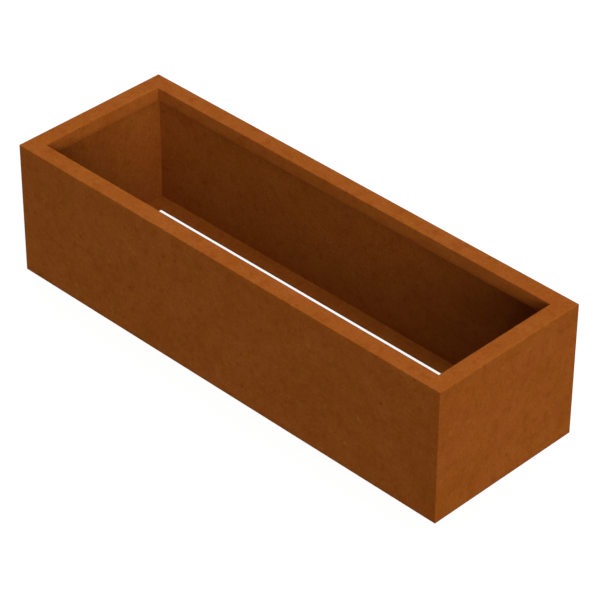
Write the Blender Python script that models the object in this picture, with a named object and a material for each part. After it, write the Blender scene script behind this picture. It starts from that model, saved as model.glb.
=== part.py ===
"""A bottomless rectangular planter box in weathering steel.

Four sheet panels stand on edge, one on each side. Each one is folded to a C: a base
flange turns in at the foot, a rim turns in at the top, and a short lip turns down from
the rim's inner edge. The panels' ends are mitred through every fold. At each corner,
four weld runs close the mitre: up the corner, across the rim, down the lip and across
the base flange. A weld is flush with the sheet on the show side, and on the inner side
it keeps its bead.

Metres, +Z up. The origin is at the middle of the rectangle that the planter stands on,
with the long sides along X and the front towards -Y.
"""

from math import copysign, cos, pi, radians, sin, sqrt

import bmesh
import bpy
from mathutils import Matrix, Vector

# Overall size
LENGTH = 1.500
WIDTH = 0.500
HEIGHT = 0.400

# Folded sheet
SHEET = 0.003
RIM = 0.050
LIP = 0.040
BASE_FLANGE = 0.050
FOLD_OUTER_RADIUS = 0.001  # tight folds, made over a groove on the inner side
FOLD_INNER_RADIUS = 0.0004
FOLD_SEGMENTS = 4

# Weld runs
ROOT_GAP = 0.002  # between the mitred ends of two panels
CLEARANCE = 0.0003  # between a weld and the sheet, or the next weld
BEAD_TOE = 0.0023  # half of a bead's width
BEAD_RISE = 0.0009
BEAD_STEPS = 6
TOE_LIFT = 0.00015  # a flat bead's toes stand this much higher than its neck
BEAD_STOP = 0.005  # how far short of the next fold or edge a flat bead ends
UPRIGHT_STOP = 0.008  # how far short of the rim and the ground an upright weld ends

MITRE_SETBACK = ROOT_GAP / sqrt(2)
WELD_HALF = ROOT_GAP / 2 - CLEARANCE
DIAGONAL = sqrt(2)  # along the corner's diagonal, for each metre in from a panel's face
UPRIGHT_LOW = UPRIGHT_STOP
UPRIGHT_HIGH = HEIGHT - UPRIGHT_STOP

# The folded sheet's outer surface, as (in from the panel's face, up) points
PANEL_PATH = [(BASE_FLANGE, 0), (0, 0), (0, HEIGHT), (RIM, HEIGHT), (RIM, HEIGHT - LIP)]
RIM_WELD_PATH = [
    (0, UPRIGHT_HIGH + CLEARANCE),
    (0, HEIGHT),
    (RIM, HEIGHT),
    (RIM, UPRIGHT_HIGH + CLEARANCE),
]
BASE_WELD_PATH = [(BASE_FLANGE, 0), (0, 0), (0, UPRIGHT_LOW - CLEARANCE)]

# Each panel's length, the middle of its foot, and its turn about Z in degrees
PANELS = {
    "front_panel": (LENGTH, (0, -WIDTH / 2, 0), 0),
    "right_end_panel": (WIDTH, (LENGTH / 2, 0, 0), 90),
    "back_panel": (LENGTH, (0, WIDTH / 2, 0), 180),
    "left_end_panel": (WIDTH, (-LENGTH / 2, 0, 0), 270),
}

# Each corner's place, and the turn that points its +Y in along the diagonal
CORNERS = {
    "front_left": ((-LENGTH / 2, -WIDTH / 2, 0), -45),
    "front_right": ((LENGTH / 2, -WIDTH / 2, 0), 45),
    "back_right": ((LENGTH / 2, WIDTH / 2, 0), 135),
    "back_left": ((-LENGTH / 2, WIDTH / 2, 0), -135),
}

SHEET_COLOUR = (0.300, 0.088, 0.020, 1)
WELD_COLOUR = (0.270, 0.082, 0.022, 1)


def clear_scene():
    for item in list(bpy.data.objects):
        bpy.data.objects.remove(item, do_unlink=True)


def new_collection(name):
    collection = bpy.data.collections.new(name)
    bpy.context.scene.collection.children.link(collection)
    return collection


def rust_material(name, colour, roughness):
    """Return an oxidised steel: mostly matt, with a little metal showing through."""
    material = bpy.data.materials.new(name)
    material.use_nodes = True
    shader = material.node_tree.nodes["Principled BSDF"]
    shader.inputs["Base Color"].default_value = colour
    shader.inputs["Roughness"].default_value = roughness
    shader.inputs["Metallic"].default_value = 0.3
    return material


def add_object(name, data, collection):
    item = bpy.data.objects.new(name, data)
    collection.objects.link(item)
    return item


def take_mesh(item):
    """Return the object's mesh with its modifiers applied, and remove the object."""
    bpy.context.view_layer.update()
    evaluated = item.evaluated_get(bpy.context.evaluated_depsgraph_get())
    mesh = bpy.data.meshes.new_from_object(evaluated)
    bpy.data.objects.remove(item, do_unlink=True)
    return mesh


def rounded(path, radius):
    """Return the path with each of its right-angled turns rounded."""
    points = [Vector(path[0])]
    for before, corner, after in zip(path, path[1:], path[2:]):
        corner = Vector(corner)
        back = (Vector(before) - corner).normalized() * radius
        ahead = (Vector(after) - corner).normalized() * radius
        for step in range(FOLD_SEGMENTS + 1):
            angle = pi / 2 * step / FOLD_SEGMENTS
            points.append(corner + back * (1 - sin(angle)) + ahead * (1 - cos(angle)))
    points.append(Vector(path[-1]))
    return points


def inner_side_of(path):
    """Return a path of clockwise right-angled turns, moved in by the sheet's thickness."""
    points = [Vector(point) for point in path]
    legs = [(end - start).normalized() for start, end in zip(points, points[1:])]
    shifts = [Vector((leg.y, -leg.x)) * SHEET for leg in legs]
    turns = [before + after for before, after in zip(shifts, shifts[1:])]
    return [point + shift for point, shift in zip(points, [shifts[0], *turns, shifts[-1]])]


def folded_sheet(name, path, stations):
    """Return a mesh of sheet that follows a path of folds, drawn along X through stations."""
    outer = rounded(path, FOLD_OUTER_RADIUS)
    inner = rounded(inner_side_of(path), FOLD_INNER_RADIUS)
    outline = outer + list(reversed(inner))
    solid = bmesh.new()
    rings = [[solid.verts.new((x, *point)) for point in outline] for x in stations]
    for ring, after in zip(rings, rings[1:]):
        for i in range(len(outline)):
            solid.faces.new((ring[i - 1], ring[i], after[i], after[i - 1]))
    for ring in (rings[0], rings[-1]):
        solid.faces.new(ring)
    bmesh.ops.recalc_face_normals(solid, faces=solid.faces)
    mesh = bpy.data.meshes.new(name)
    solid.to_mesh(mesh)
    solid.free()
    return mesh


def panel_mesh(name, length):
    """Return a C-section panel whose ends are cut back to the corners' diagonals."""
    mesh = folded_sheet(name, PANEL_PATH, (-length / 2, length / 2))
    for vertex in mesh.vertices:
        half = length / 2 - vertex.co.y - MITRE_SETBACK
        vertex.co.x = copysign(half, vertex.co.x)
    return mesh


def mitre_ribbon(name, path):
    """Return the filler between two mitred ends: X across the diagonal, +Y in along it."""
    stations = (-WELD_HALF, 0, WELD_HALF)
    mesh = folded_sheet(name, path, stations)
    for vertex in mesh.vertices:
        vertex.co.y = DIAGONAL * vertex.co.y + abs(vertex.co.x)
    return mesh


def bead_crown(level, rise):
    """Return the points of a bead's rounded face, from its right toe to its left toe."""
    points = []
    for step in range(BEAD_STEPS + 1):
        across = BEAD_TOE * (1 - 2 * step / BEAD_STEPS)
        points.append((across, level + rise * (1 - (across / BEAD_TOE) ** 2)))
    return points


def prism(name, outline, depth, collection):
    """Return a mesh of a flat outline in X and Y, that goes up from z = 0 to depth."""
    curve = bpy.data.curves.new(name, "CURVE")
    curve.dimensions = "2D"
    curve.fill_mode = "BOTH"
    curve.extrude = depth / 2
    spline = curve.splines.new("POLY")
    spline.points.add(len(outline) - 1)
    for point, (x, y) in zip(spline.points, outline):
        point.co = (x, y, 0, 1)
    spline.use_cyclic_u = True

    mesh = take_mesh(add_object(name, curve, collection))
    solid = bmesh.new()
    solid.from_mesh(mesh)
    bmesh.ops.remove_doubles(solid, verts=solid.verts, dist=1e-6)
    bmesh.ops.translate(solid, verts=solid.verts, vec=(0, 0, depth / 2))
    bmesh.ops.recalc_face_normals(solid, faces=solid.faces)
    solid.to_mesh(mesh)
    solid.free()
    return mesh


def upright_weld(name, show_side, inner_side, bead, span, collection):
    """Return a vertical run. show_side and inner_side are in from the panel's face."""
    half = [(WELD_HALF, DIAGONAL * inward + WELD_HALF) for inward in (show_side, inner_side)]
    other_half = [(-across, along) for across, along in reversed(half)]
    outline = [(0, DIAGONAL * show_side), *half, *bead, *other_half]
    low, high = span
    mesh = prism(name, outline, high - low, collection)
    mesh.transform(Matrix.Translation((0, 0, low)))
    return mesh


def corner_weld_mesh(collection):
    """The run up the corner: a sharp outer edge, and a fillet in the inner corner."""
    inner_side = SHEET + CLEARANCE
    bead = bead_crown(DIAGONAL * inner_side + BEAD_TOE, BEAD_RISE)
    span = (UPRIGHT_LOW, UPRIGHT_HIGH)
    return upright_weld("corner_weld", 0, inner_side, bead, span, collection)


def lip_weld_mesh(collection):
    """The run down the lip: its bead wraps the edge on the side that faces the wall."""
    inner_side = RIM - SHEET - CLEARANCE
    bead = bead_crown(DIAGONAL * inner_side + BEAD_TOE, -BEAD_TOE - BEAD_RISE)
    span = (HEIGHT - LIP, UPRIGHT_HIGH)
    return upright_weld("lip_weld", RIM, inner_side, bead, span, collection)


def flat_weld_mesh(name, path, bead_height, turn, bead_end, collection, cutters):
    """Return a ribbon that follows the path, joined to a bead on the sheet's inner side.

    The bead lies along +Y at bead_height, which is the inner side of the sheet there.
    turn is its roll about Y: 0 for a bead that faces up and 180 for one that faces down.
    """
    neck = WELD_HALF / 2
    root = -SHEET / 2
    outline = [
        (-neck, CLEARANCE),
        (-neck, root),
        (neck, root),
        (neck, CLEARANCE),
        *bead_crown(CLEARANCE + TOE_LIFT, BEAD_RISE),
    ]
    start = DIAGONAL * (SHEET + BEAD_STOP)
    end = DIAGONAL * (bead_end - BEAD_STOP)
    bead = prism(name + "_bead", outline, end - start, cutters)
    stand_up = Matrix.Rotation(radians(90), 4, "X")
    roll = Matrix.Rotation(radians(turn), 4, "Y")
    bead.transform(Matrix.Translation((0, end, bead_height)) @ roll @ stand_up)

    guide = add_object(name + "_bead", bead, cutters)
    guide.hide_render = True
    guide.display_type = "WIRE"
    weld = add_object(name, mitre_ribbon(name, path), collection)
    join = weld.modifiers.new("bead", "BOOLEAN")
    join.operation = "UNION"
    join.solver = "EXACT"
    join.object = guide
    mesh = take_mesh(weld)
    bpy.data.objects.remove(guide, do_unlink=True)
    return mesh


def finish_mesh(mesh, material):
    mesh.materials.clear()
    mesh.materials.append(material)
    mesh.shade_smooth()
    mesh.set_sharp_from_angle(angle=radians(30))


def place(name, mesh, location, degrees, collection):
    item = add_object(name, mesh, collection)
    item.location = location
    item.rotation_euler = (0, 0, radians(degrees))


def build():
    clear_scene()
    planter = new_collection("planter_box")
    cutters = new_collection("cutters")
    sheet_material = rust_material("weathering_steel_sheet", SHEET_COLOUR, 0.80)
    weld_material = rust_material("weathering_steel_weld", WELD_COLOUR, 0.72)

    panel_meshes = {}
    for length in (LENGTH, WIDTH):
        panel_meshes[length] = panel_mesh("panel", length)
        finish_mesh(panel_meshes[length], sheet_material)
    for name, (length, location, degrees) in PANELS.items():
        place(name, panel_meshes[length], location, degrees, planter)

    welds = {
        "corner_weld": corner_weld_mesh(planter),
        "lip_weld": lip_weld_mesh(planter),
        "rim_mitre_weld": flat_weld_mesh(
            "rim_weld", RIM_WELD_PATH, HEIGHT - SHEET, 180, RIM - SHEET, planter, cutters
        ),
        "base_mitre_weld": flat_weld_mesh(
            "base_weld", BASE_WELD_PATH, SHEET, 0, BASE_FLANGE, planter, cutters
        ),
    }
    for kind, mesh in welds.items():
        finish_mesh(mesh, weld_material)
        for corner, (location, degrees) in CORNERS.items():
            place(kind + "_" + corner, mesh, location, degrees, planter)


build()
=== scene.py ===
"""The looks of the weathering steel planter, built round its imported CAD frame.

The four folded panels and the weld runs at their corners are made again as finer meshes:
round folds, deburred edges, walls that are not quite flat, and rippled weld beads. Each
one stands for its own CAD node. They all wear procedural rust.
"""

from math import ceil, cos, pi, radians, sin, sqrt

import bmesh
import bpy
from mathutils import Matrix, Vector, noise


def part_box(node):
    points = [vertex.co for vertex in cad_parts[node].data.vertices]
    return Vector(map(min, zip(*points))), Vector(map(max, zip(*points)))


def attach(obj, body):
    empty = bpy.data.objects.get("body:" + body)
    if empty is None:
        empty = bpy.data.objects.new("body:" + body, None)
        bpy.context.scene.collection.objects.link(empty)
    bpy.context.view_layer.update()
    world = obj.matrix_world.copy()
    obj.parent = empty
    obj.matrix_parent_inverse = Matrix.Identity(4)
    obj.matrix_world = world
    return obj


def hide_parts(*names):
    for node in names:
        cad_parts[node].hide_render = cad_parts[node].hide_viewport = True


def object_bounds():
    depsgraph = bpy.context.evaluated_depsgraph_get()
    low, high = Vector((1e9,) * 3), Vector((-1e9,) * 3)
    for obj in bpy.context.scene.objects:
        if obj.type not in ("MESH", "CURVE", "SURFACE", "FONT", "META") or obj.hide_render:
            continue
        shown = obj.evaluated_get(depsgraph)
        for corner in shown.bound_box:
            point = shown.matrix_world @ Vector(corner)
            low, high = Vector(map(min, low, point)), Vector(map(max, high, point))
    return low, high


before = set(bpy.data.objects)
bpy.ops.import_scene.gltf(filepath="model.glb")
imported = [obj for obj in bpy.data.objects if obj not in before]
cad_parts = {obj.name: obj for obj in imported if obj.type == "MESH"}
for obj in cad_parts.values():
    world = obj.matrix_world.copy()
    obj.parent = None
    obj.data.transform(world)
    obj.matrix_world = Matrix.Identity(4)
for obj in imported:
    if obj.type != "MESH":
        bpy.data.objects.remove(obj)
CAD_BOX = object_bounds()

# Sizes read from the frame, in metres
LENGTH, WIDTH, HEIGHT = CAD_BOX[1] - CAD_BOX[0]
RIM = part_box("front_panel")[1].y - CAD_BOX[0].y
LIP_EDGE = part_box("lip_weld_front_left")[0].z
UPRIGHT_LOW, UPRIGHT_HIGH = (corner.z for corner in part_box("corner_weld_front_left"))

# Sizes that the frame's boxes don't show, as in the CAD source
SHEET = 0.003
FOLD_OUTER_RADIUS = 0.001
FOLD_INNER_RADIUS = 0.0004
ROOT_GAP = 0.002
DIAGONAL = sqrt(2)
MITRE_SETBACK = ROOT_GAP / DIAGONAL

# Fineness of the meshes, and the angle in degrees from which an edge looks sharp
FOLD_STEPS = 6
DEBURR_RADIUS = 0.0004
DEBURR_STEPS = 2
PANEL_CELL = 0.018
SHARP_ANGLE = 35

# How far the sheet is from flat, and how its waves run and fade towards its edges
WALL_BOW = 0.0008
RIM_BOW = 0.0002
BOW_WAVELENGTH = 0.33
BOW_FADE = 0.06

# Weld runs: a dished outer side, a straight root and a rippled bead on the inner side
WELD_LAP = 0.00005
WELD_HALF = ROOT_GAP / 2 + WELD_LAP
WELD_DISH = 0.00008
ROOT_DEPTH = 0.0004
BEAD_TOE = 0.0017
BEAD_TOE_DEPTH = 0.0002
BEAD_RISE = 0.0008
BEAD_STEPS = 12
BEAD_STOP = 0.005
BEAD_TAPER = 0.004
RIPPLE_PITCH = 0.0024
RIPPLE_DEPTH = 0.00022
RIPPLE_LAG = 0.45
STEPS_PER_RIPPLE = 4
CORNER_EASE = 0.00025

# The camera: where it stands, its turn in degrees, its lens and sensor in millimetres
CAMERA_PLACE = (4.3181, -4.3376, 4.6135)
CAMERA_TURN = (53.922, -0.236, 44.763)
CAMERA_LENS = 176.11
CAMERA_SENSOR = 36

# Soft lights: azimuth (0 from the front, 90 from the right), elevation, strength and
# spread, with the angles in degrees
LIGHTS = {
    "low_softbox": (60, 8, 0.264, 30),
    "side_softbox": (61, 20, 0.170, 30),
    "broad_softbox": (60, 26, 0.388, 50),
    "high_softbox": (60, 68, 0.220, 20),
    "back_softbox": (215, 66, 0.535, 50),
    "rear_softbox": (200, 10, 0.260, 30),
}

# Even light from the sky and from the ground
AMBIENT_ABOVE = 0.039
AMBIENT_BELOW = 0.165

# The floor: just under the planter's foot, dark in itself, and glowing so that it looks white
FLOOR_SIZE = 60
FLOOR_DROP = 0.0003
FLOOR_COLOUR = 0.15
FLOOR_GLOW = 0.90

# Each panel's CAD node: its length, the middle of its foot, and its turn about Z in degrees
PANELS = {
    "front_panel": (LENGTH, (0, -WIDTH / 2, 0), 0),
    "right_end_panel": (WIDTH, (LENGTH / 2, 0, 0), 90),
    "back_panel": (LENGTH, (0, WIDTH / 2, 0), 180),
    "left_end_panel": (WIDTH, (-LENGTH / 2, 0, 0), 270),
}

# Each corner's place, and the turn in degrees that points its +Y in along the diagonal
CORNERS = {
    "front_left": ((-LENGTH / 2, -WIDTH / 2, 0), -45),
    "front_right": ((LENGTH / 2, -WIDTH / 2, 0), 45),
    "back_right": ((LENGTH / 2, WIDTH / 2, 0), 135),
    "back_left": ((-LENGTH / 2, WIDTH / 2, 0), -135),
}


# ---------------------------------------------------------------- outlines


def rounded_outline(corners):
    """Return the points of a closed outline, given (x, y, radius, steps) right-angled corners."""
    points = []
    for index, (x, y, radius, steps) in enumerate(corners):
        corner = Vector((x, y))
        before = (Vector(corners[index - 1][:2]) - corner).normalized()
        after = (Vector(corners[(index + 1) % len(corners)][:2]) - corner).normalized()
        centre = corner + (before + after) * radius
        for step in range(steps + 1):
            angle = pi / 2 * step / steps
            points.append(centre - after * radius * cos(angle) - before * radius * sin(angle))
    return points


def divided(points, longest):
    """Return a closed outline with its long sides cut into steps no longer than longest."""
    result = []
    for start, end in zip(points, points[1:] + points[:1]):
        count = max(1, ceil((end - start).length / longest))
        result.extend(start.lerp(end, step / count) for step in range(count))
    return result


def panel_section():
    """Return the folded sheet's section: (in from the panel's face, up) points."""
    fold = (FOLD_OUTER_RADIUS, FOLD_STEPS)
    inner_fold = (FOLD_INNER_RADIUS, FOLD_STEPS)
    cut = (DEBURR_RADIUS, DEBURR_STEPS)
    corners = [
        (RIM, 0, *cut),
        (0, 0, *fold),
        (0, HEIGHT, *fold),
        (RIM, HEIGHT, *fold),
        (RIM, LIP_EDGE, *cut),
        (RIM - SHEET, LIP_EDGE, *cut),
        (RIM - SHEET, HEIGHT - SHEET, *inner_fold),
        (SHEET, HEIGHT - SHEET, *inner_fold),
        (SHEET, SHEET, *inner_fold),
        (RIM, SHEET, *cut),
    ]
    return divided(rounded_outline(corners), PANEL_CELL)


# ---------------------------------------------------------------- meshes


def loft(name, rings):
    """Return a mesh through closed rings of points, with a cap at each end."""
    solid = bmesh.new()
    rows = [[solid.verts.new(point) for point in ring] for ring in rings]
    count = len(rows[0])
    for row, after in zip(rows, rows[1:]):
        for i in range(count):
            j = (i + 1) % count
            solid.faces.new((row[i], row[j], after[j], after[i]))
    solid.faces.new(list(reversed(rows[0])))
    solid.faces.new(rows[-1])
    bmesh.ops.recalc_face_normals(solid, faces=solid.faces)
    mesh = bpy.data.meshes.new(name)
    solid.to_mesh(mesh)
    solid.free()
    mesh.shade_smooth()
    mesh.set_sharp_from_angle(angle=radians(SHARP_ANGLE))
    return mesh


def ease(distance, reach):
    """Return 0 at an edge and 1 from reach onwards, with a smooth climb between."""
    share = min(1, max(0, distance / reach))
    return share * share * (3 - 2 * share)


def bow(x, inward, up, half, seed):
    """Return how far a point of the wall or the rim lies behind its flat place: (in, down)."""
    spot = Vector((x, up, seed)) / BOW_WAVELENGTH
    dent = ease(half - abs(x), BOW_FADE) * (0.5 + 0.5 * noise.noise(spot))
    if inward <= SHEET:
        return WALL_BOW * dent * ease(min(up, HEIGHT - up), BOW_FADE), 0
    if up >= HEIGHT - SHEET:
        return 0, RIM_BOW * dent * ease(min(inward, RIM - inward), RIM / 2)
    return 0, 0


def panel_mesh(name, length, seed):
    """Return a folded panel along X, mitred at both ends, with its face on y = 0."""
    section = panel_section()
    stations = ceil(length / PANEL_CELL)
    rings = []
    for station in range(stations + 1):
        share = 2 * station / stations - 1
        ring = []
        for inward, up in section:
            half = length / 2 - inward - MITRE_SETBACK
            x = share * half
            behind, below = bow(x, inward, up, half, seed)
            ring.append((x, inward + behind, up - below))
        rings.append(ring)
    return loft(name, rings)


def weld_path():
    """Return the way round a mitre on the sheet's outer side: (point, outward) pairs."""
    r = FOLD_OUTER_RADIUS
    legs = [
        (Vector((RIM, 0)), Vector((r, 0)), Vector((0, -1))),
        (Vector((0, r)), Vector((0, HEIGHT - r)), Vector((-1, 0))),
        (Vector((r, HEIGHT)), Vector((RIM - r, HEIGHT)), Vector((0, 1))),
        (Vector((RIM, HEIGHT - r)), Vector((RIM, LIP_EDGE)), Vector((1, 0))),
    ]
    step = RIPPLE_PITCH / STEPS_PER_RIPPLE
    path = []
    for index, (start, end, outward) in enumerate(legs):
        count = ceil((end - start).length / step)
        path.extend((start.lerp(end, i / count), outward) for i in range(count + 1))
        if index + 1 < len(legs):
            turned = legs[index + 1][2]
            centre = end - outward * r
            for i in range(1, FOLD_STEPS):
                angle = pi / 2 * i / FOLD_STEPS
                normal = outward * cos(angle) + turned * sin(angle)
                path.append((centre + normal * r, normal))
    return path


def weld_ring(point, outward, distance, swell, eased):
    """Return one section of a weld, in its corner's frame: X across, +Y in on the diagonal.

    distance runs along the weld, swell is 1 where the bead is full, and eased is how far the
    outer side's middle line is rounded off.
    """
    ring = []

    def add(across, offset):
        inward, up = point + outward * offset
        ring.append((across, DIAGONAL * inward + abs(across), up))

    for share in (-1, -0.5, 0, 0.5, 1):
        sunk = WELD_DISH * share * share + eased * (1 - abs(share)) ** 2
        add(share * WELD_HALF, -sunk)
    add(WELD_HALF, ROOT_DEPTH - SHEET)
    for step in range(BEAD_STEPS + 1):
        share = 1 - 2 * step / BEAD_STEPS
        crown = 1 - share * share
        ripple = (distance / RIPPLE_PITCH + RIPPLE_LAG * share * share) % 1
        rise = swell * (BEAD_RISE * crown - RIPPLE_DEPTH * crown * ripple * ripple)
        add(share * BEAD_TOE, BEAD_TOE_DEPTH - SHEET - rise)
    add(-WELD_HALF, ROOT_DEPTH - SHEET)
    return ring


def bead_swell(point, run):
    """Return how full the inner bead is at a point of a run: 0 none, 1 full."""
    inward, up = point
    if run in ("corner_weld", "lip_weld"):
        low = UPRIGHT_LOW if run == "corner_weld" else LIP_EDGE
        return ease(min(up - low, UPRIGHT_HIGH - up), BEAD_TAPER)
    start = SHEET + BEAD_STOP
    end = RIM - BEAD_STOP
    return ease(min(inward - start, end - inward), BEAD_TAPER)


def run_of(point):
    """Return which weld run a point of the path belongs to."""
    inward, up = point
    if up < UPRIGHT_LOW:
        return "base_mitre_weld"
    if up > UPRIGHT_HIGH:
        return "rim_mitre_weld"
    return "corner_weld" if inward < RIM / 2 else "lip_weld"


def weld_meshes():
    """Return one mesh for each run of weld, in the corner's frame."""
    rings = {}
    distance = 0
    previous = None
    for point, outward in weld_path():
        if previous is not None:
            distance += (point - previous).length
        run = run_of(point)
        # Only the corner up the outside of the wall is rounded off
        eased = CORNER_EASE * max(0, -outward.x)
        ring = weld_ring(point, outward, distance, bead_swell(point, run), eased)
        if previous is not None and run_of(previous) != run:
            rings[run_of(previous)].append(ring)
        rings.setdefault(run, []).append(ring)
        previous = point
    return {run: loft(run, sections) for run, sections in rings.items()}


# ---------------------------------------------------------------- materials

# Rust colours: the ends of its shade and of its tint, and three for its flakes and pits
RUST_DEEP = (0.2850, 0.0718, 0.0060, 1)
RUST_PALE = (0.3420, 0.0930, 0.0144, 1)
OLIVE_TINT = (1.010, 1.045, 0.94, 1)
PINK_TINT = (0.990, 0.957, 1.06, 1)
DARK_FLAKE_COLOUR = (0.262, 0.0620, 0.0058, 1)
LIGHT_FLAKE_COLOUR = (0.375, 0.1160, 0.0185, 1)
PIT_DARK = (0.190, 0.0340, 0.0005, 1)

# Noise patterns of the rust: scale, detail and roughness. The grain's scale differs from
# material to material, and a shift keeps the patterns from lining up.
DRIFT = (9, 3, 0.5)
PATCHES = (26, 3, 0.6)
FLECKS = (110, 5, 0.8)
HUES = (17, 4, 0.6)
DARK_FLAKES = (36, 4, 0.6)
LIGHT_FLAKES = (50, 2, 0.5)
GRAIN = (4, 0.75)
SHEET_GRAIN_SCALE = 260
WELD_GRAIN_SCALE = 500
PATTERN_SHIFT = (3, 7, 5)

# How much each pattern adds to the shade, and the values over which each look comes in
DRIFT_SHARE = 1.2
PATCH_SHARE = 1.3
FLECK_SHARE = 4
NOISE_REACH = (0.3, 0.7)
SHADE_REACH = (2.7, 3.8)
HUE_REACH = (0.35, 0.65)
DARK_FLAKE_REACH = (0.52, 0.72)
LIGHT_FLAKE_REACH = (0.66, 0.76)
GRAIN_REACH = (0.25, 0.75)

# How strong the light flakes, the pits and the grain are
LIGHT_FLAKE_STRENGTH = 0.7
PIT_STRENGTH = 0.65
GRAIN_SHADES = (0.74, 1.26)

# Pits: how many cells to a metre, a pit's size in its cell, and the share of cells with one
PIT_CELLS = 30
PIT_SIZE = 0.12
PIT_SHARE = 0.12

# A speck's ragged edge: how much finer its noise is than the cells, that noise's detail, and
# the share of the speck's radius that is solid
SPECK_EDGE_SCALE = 6
SPECK_EDGE_DETAIL = 2
SPECK_CORE = 0.6

# Dark marks on the front face: how far along and up each one is, and how far each reaches
FRONT_MARKS = ((-0.199, 0.314), (-0.158, 0.322), (0.082, 0.054), (0.562, 0.265))
MARK_REACH = 0.0055

# Sheen and relief of the rust
ROUGHNESS = (0.92, 0.80)
SPECULAR = 0.04
RELIEF_DEPTH = 0.00025
RELIEF_STRENGTH = 0.7
FLAKE_RELIEF = 0.4
PIT_RELIEF = 0.8


class Nodes:
    """A short way to add nodes to a material or world and link them."""

    def __init__(self, owner, shader):
        owner.use_nodes = True
        self.tree = owner.node_tree
        self.shader = self.tree.nodes[shader]

    def add(self, kind, **inputs):
        """Add a node, with a value or a link for each input that is named."""
        node = self.tree.nodes.new(kind)
        for name, value in inputs.items():
            self.set(node.inputs[name], value)
        return node

    def set(self, socket, value):
        """Link another node's output to a socket, or give it a constant value."""
        if isinstance(value, bpy.types.NodeSocket):
            self.tree.links.new(value, socket)
        else:
            socket.default_value = value

    def maths(self, operation, first, second):
        """Return the outcome of a sum on two numbers."""
        node = self.tree.nodes.new("ShaderNodeMath")
        node.operation = operation
        self.set(node.inputs[0], first)
        self.set(node.inputs[1], second)
        return node.outputs[0]

    def noise(self, place, scale, detail, roughness=0.5):
        """Return a soft random pattern, mostly between 0.3 and 0.7."""
        node = self.add(
            "ShaderNodeTexNoise", Vector=place, Scale=scale, Detail=detail, Roughness=roughness
        )
        return node.outputs["Fac"]

    def spread(self, value, low, high, to_low, to_high):
        """Map low..high on to to_low..to_high, and hold the ends."""
        node = self.add("ShaderNodeMapRange", Value=value)
        for name, number in zip(
            ("From Min", "From Max", "To Min", "To Max"), (low, high, to_low, to_high)
        ):
            node.inputs[name].default_value = number
        return node.outputs["Result"]

    def mix(self, factor, first, second):
        """Return the first colour at factor 0, and the second at 1."""
        node = self.tree.nodes.new("ShaderNodeMix")
        node.data_type = "RGBA"
        self.set(node.inputs["Factor"], factor)
        self.set(node.inputs["A"], first)
        self.set(node.inputs["B"], second)
        return node.outputs["Result"]

    def tinted(self, colour, tint):
        """Return the colour times a tint, channel by channel."""
        node = self.tree.nodes.new("ShaderNodeVectorMath")
        node.operation = "MULTIPLY"
        self.set(node.inputs[0], colour)
        self.set(node.inputs[1], tint)
        return node.outputs[0]

    def scaled(self, colour, factor):
        """Return the colour times a number."""
        node = self.tree.nodes.new("ShaderNodeVectorMath")
        node.operation = "SCALE"
        self.set(node.inputs[0], colour)
        self.set(node.inputs["Scale"], factor)
        return node.outputs[0]

    def mark(self, place, centre, reach):
        """Return 1 round a point, falling to 0 at reach from it."""
        node = self.tree.nodes.new("ShaderNodeVectorMath")
        node.operation = "DISTANCE"
        self.set(node.inputs[0], place)
        self.set(node.inputs[1], centre)
        return self.spread(node.outputs["Value"], reach / 2, reach, 1, 0)

    def specks(self, place, cells, size, share):
        """Return 1 inside ragged specks, one in each of a share of the cells."""
        node = self.add("ShaderNodeTexVoronoi", Vector=place, Scale=cells)
        edge = self.noise(place, cells * SPECK_EDGE_SCALE, SPECK_EDGE_DETAIL)
        ragged = self.spread(edge, *NOISE_REACH, -size / 2, size / 2)
        distance = self.maths("ADD", node.outputs["Distance"], ragged)
        dot = self.spread(distance, size * SPECK_CORE, size, 1, 0)
        chosen = self.add("ShaderNodeSeparateColor", Color=node.outputs["Color"])
        keep = self.maths("LESS_THAN", chosen.outputs["Red"], share)
        return self.maths("MULTIPLY", dot, keep)


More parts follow.
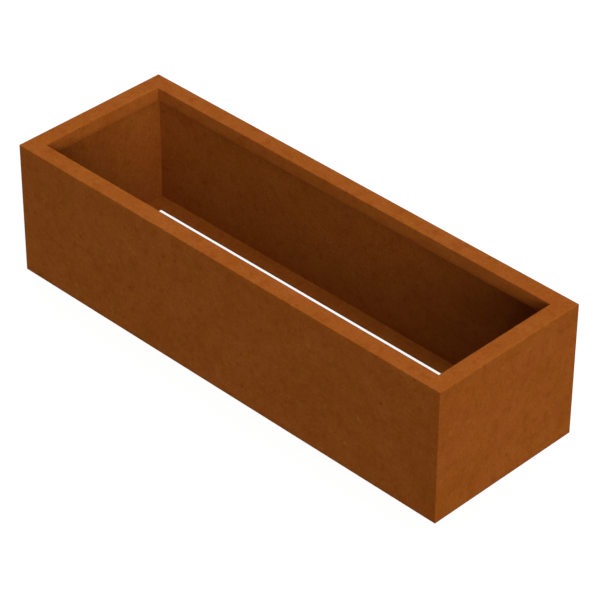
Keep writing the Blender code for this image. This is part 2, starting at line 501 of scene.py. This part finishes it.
def rust(name, grain_scale):
    """Return a rusted steel whose pattern runs on from piece to piece."""
    material = bpy.data.materials.new(name)
    nodes = Nodes(material, "Principled BSDF")
    place = nodes.add("ShaderNodeTexCoord").outputs["Object"]
    mapping = nodes.add("ShaderNodeMapping", Vector=place, Location=PATTERN_SHIFT)
    elsewhere = mapping.outputs["Vector"]

    drift = nodes.noise(elsewhere, *DRIFT)
    patches = nodes.noise(place, *PATCHES)
    flecks = nodes.noise(elsewhere, *FLECKS)
    hues = nodes.noise(place, *HUES)
    dark_flakes = nodes.noise(place, *DARK_FLAKES)
    light_flakes = nodes.noise(elsewhere, *LIGHT_FLAKES)
    grains = nodes.noise(place, grain_scale, *GRAIN)
    pits = nodes.specks(place, PIT_CELLS, PIT_SIZE, PIT_SHARE)
    for along, up in FRONT_MARKS:
        mark = nodes.mark(place, (along, -WIDTH / 2, up), MARK_REACH)
        pits = nodes.maths("MAXIMUM", pits, mark)

    shade = nodes.maths("MULTIPLY", drift, DRIFT_SHARE)
    shade = nodes.maths("ADD", shade, nodes.maths("MULTIPLY", patches, PATCH_SHARE))
    shade = nodes.maths("ADD", shade, nodes.maths("MULTIPLY", flecks, FLECK_SHARE))
    colour = nodes.mix(nodes.spread(shade, *SHADE_REACH, 0, 1), RUST_DEEP, RUST_PALE)
    tint = nodes.mix(nodes.spread(hues, *HUE_REACH, 0, 1), OLIVE_TINT, PINK_TINT)
    colour = nodes.tinted(colour, tint)
    dark = nodes.spread(dark_flakes, *DARK_FLAKE_REACH, 0, 1)
    colour = nodes.mix(dark, colour, DARK_FLAKE_COLOUR)
    light = nodes.spread(light_flakes, *LIGHT_FLAKE_REACH, 0, LIGHT_FLAKE_STRENGTH)
    colour = nodes.mix(light, colour, LIGHT_FLAKE_COLOUR)
    colour = nodes.mix(nodes.maths("MULTIPLY", pits, PIT_STRENGTH), colour, PIT_DARK)
    colour = nodes.scaled(colour, nodes.spread(grains, *GRAIN_REACH, *GRAIN_SHADES))
    nodes.set(nodes.shader.inputs["Base Color"], colour)

    roughness = nodes.spread(patches, *NOISE_REACH, *ROUGHNESS)
    nodes.set(nodes.shader.inputs["Roughness"], roughness)
    nodes.shader.inputs["Metallic"].default_value = 0
    nodes.shader.inputs["Specular IOR Level"].default_value = SPECULAR

    relief = nodes.maths("ADD", grains, nodes.maths("MULTIPLY", dark_flakes, FLAKE_RELIEF))
    relief = nodes.maths("SUBTRACT", relief, nodes.maths("MULTIPLY", pits, PIT_RELIEF))
    bump = nodes.add(
        "ShaderNodeBump", Height=relief, Distance=RELIEF_DEPTH, Strength=RELIEF_STRENGTH
    )
    nodes.set(nodes.shader.inputs["Normal"], bump.outputs["Normal"])
    return material


# ---------------------------------------------------------------- assembly


def place_piece(node, mesh, location, turn, material):
    """Add a piece that stands for a CAD node, with its place in its mesh."""
    mesh = mesh.copy()
    mesh.name = node + "_mesh"
    turned = Matrix.Rotation(radians(turn), 4, "Z")
    mesh.transform(Matrix.Translation(location) @ turned)
    mesh.materials.append(material)
    piece = bpy.data.objects.new(node + "_piece", mesh)
    bpy.context.scene.collection.objects.link(piece)
    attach(piece, "root")
    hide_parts(node)


def build_planter():
    """Add the four panels and the sixteen weld runs."""
    sheet = rust("sheet_rust", SHEET_GRAIN_SCALE)
    weld = rust("weld_rust", WELD_GRAIN_SCALE)
    for seed, (node, (length, location, turn)) in enumerate(PANELS.items()):
        mesh = panel_mesh(node, length, seed)
        place_piece(node, mesh, location, turn, sheet)
    for run, mesh in weld_meshes().items():
        for corner, (location, turn) in CORNERS.items():
            place_piece(run + "_" + corner, mesh, location, turn, weld)


def build_camera():
    """Stand the camera where the planter is seen from above its right front corner."""
    camera = bpy.data.objects.new("camera", bpy.data.cameras.new("camera"))
    camera.location = CAMERA_PLACE
    camera.rotation_euler = [radians(angle) for angle in CAMERA_TURN]
    camera.data.lens = CAMERA_LENS
    camera.data.sensor_width = CAMERA_SENSOR
    bpy.context.scene.collection.objects.link(camera)
    bpy.context.scene.camera = camera


def build_lights():
    """Hang the soft lights: wide suns, so that each lights the whole planter evenly."""
    for name, (azimuth, elevation, strength, spread) in LIGHTS.items():
        light = bpy.data.lights.new(name, "SUN")
        light.energy = strength * pi
        light.angle = radians(spread)
        lamp = bpy.data.objects.new(name, light)
        lamp.rotation_euler = (radians(90 - elevation), 0, radians(azimuth))
        bpy.context.scene.collection.objects.link(lamp)


def build_world():
    """Light evenly from above and from below, with white behind for the camera alone."""
    world = bpy.data.worlds.new("studio")
    nodes = Nodes(world, "Background")
    direction = nodes.add("ShaderNodeTexCoord").outputs["Generated"]
    height = nodes.add("ShaderNodeSeparateXYZ", Vector=direction).outputs["Z"]
    above = nodes.maths("GREATER_THAN", height, 0)
    ambient = nodes.spread(above, 0, 1, AMBIENT_BELOW, AMBIENT_ABOVE)
    seen = nodes.add("ShaderNodeLightPath").outputs["Is Camera Ray"]
    nodes.shader.inputs["Color"].default_value = (1, 1, 1, 1)
    nodes.set(nodes.shader.inputs["Strength"], nodes.maths("MAXIMUM", ambient, seen))
    bpy.context.scene.world = world


def build_floor():
    """Lay a white floor that takes a faint shadow, but throws no light back up."""
    mesh = bpy.data.meshes.new("floor")
    plane = bmesh.new()
    bmesh.ops.create_grid(plane, x_segments=1, y_segments=1, size=FLOOR_SIZE / 2)
    plane.to_mesh(mesh)
    plane.free()
    material = bpy.data.materials.new("floor_white")
    shader = Nodes(material, "Principled BSDF").shader
    shader.inputs["Base Color"].default_value = (FLOOR_COLOUR,) * 3 + (1,)
    shader.inputs["Roughness"].default_value = 1
    shader.inputs["Specular IOR Level"].default_value = 0
    shader.inputs["Emission Color"].default_value = (1, 1, 1, 1)
    shader.inputs["Emission Strength"].default_value = FLOOR_GLOW
    mesh.materials.append(material)
    floor = bpy.data.objects.new("floor", mesh)
    floor.location.z = -FLOOR_DROP
    floor.visible_diffuse = False
    floor.visible_glossy = False
    bpy.context.scene.collection.objects.link(floor)


build_camera()
build_planter()
build_lights()
build_world()
build_floor()
bpy.context.scene.view_settings.view_transform = "Standard"
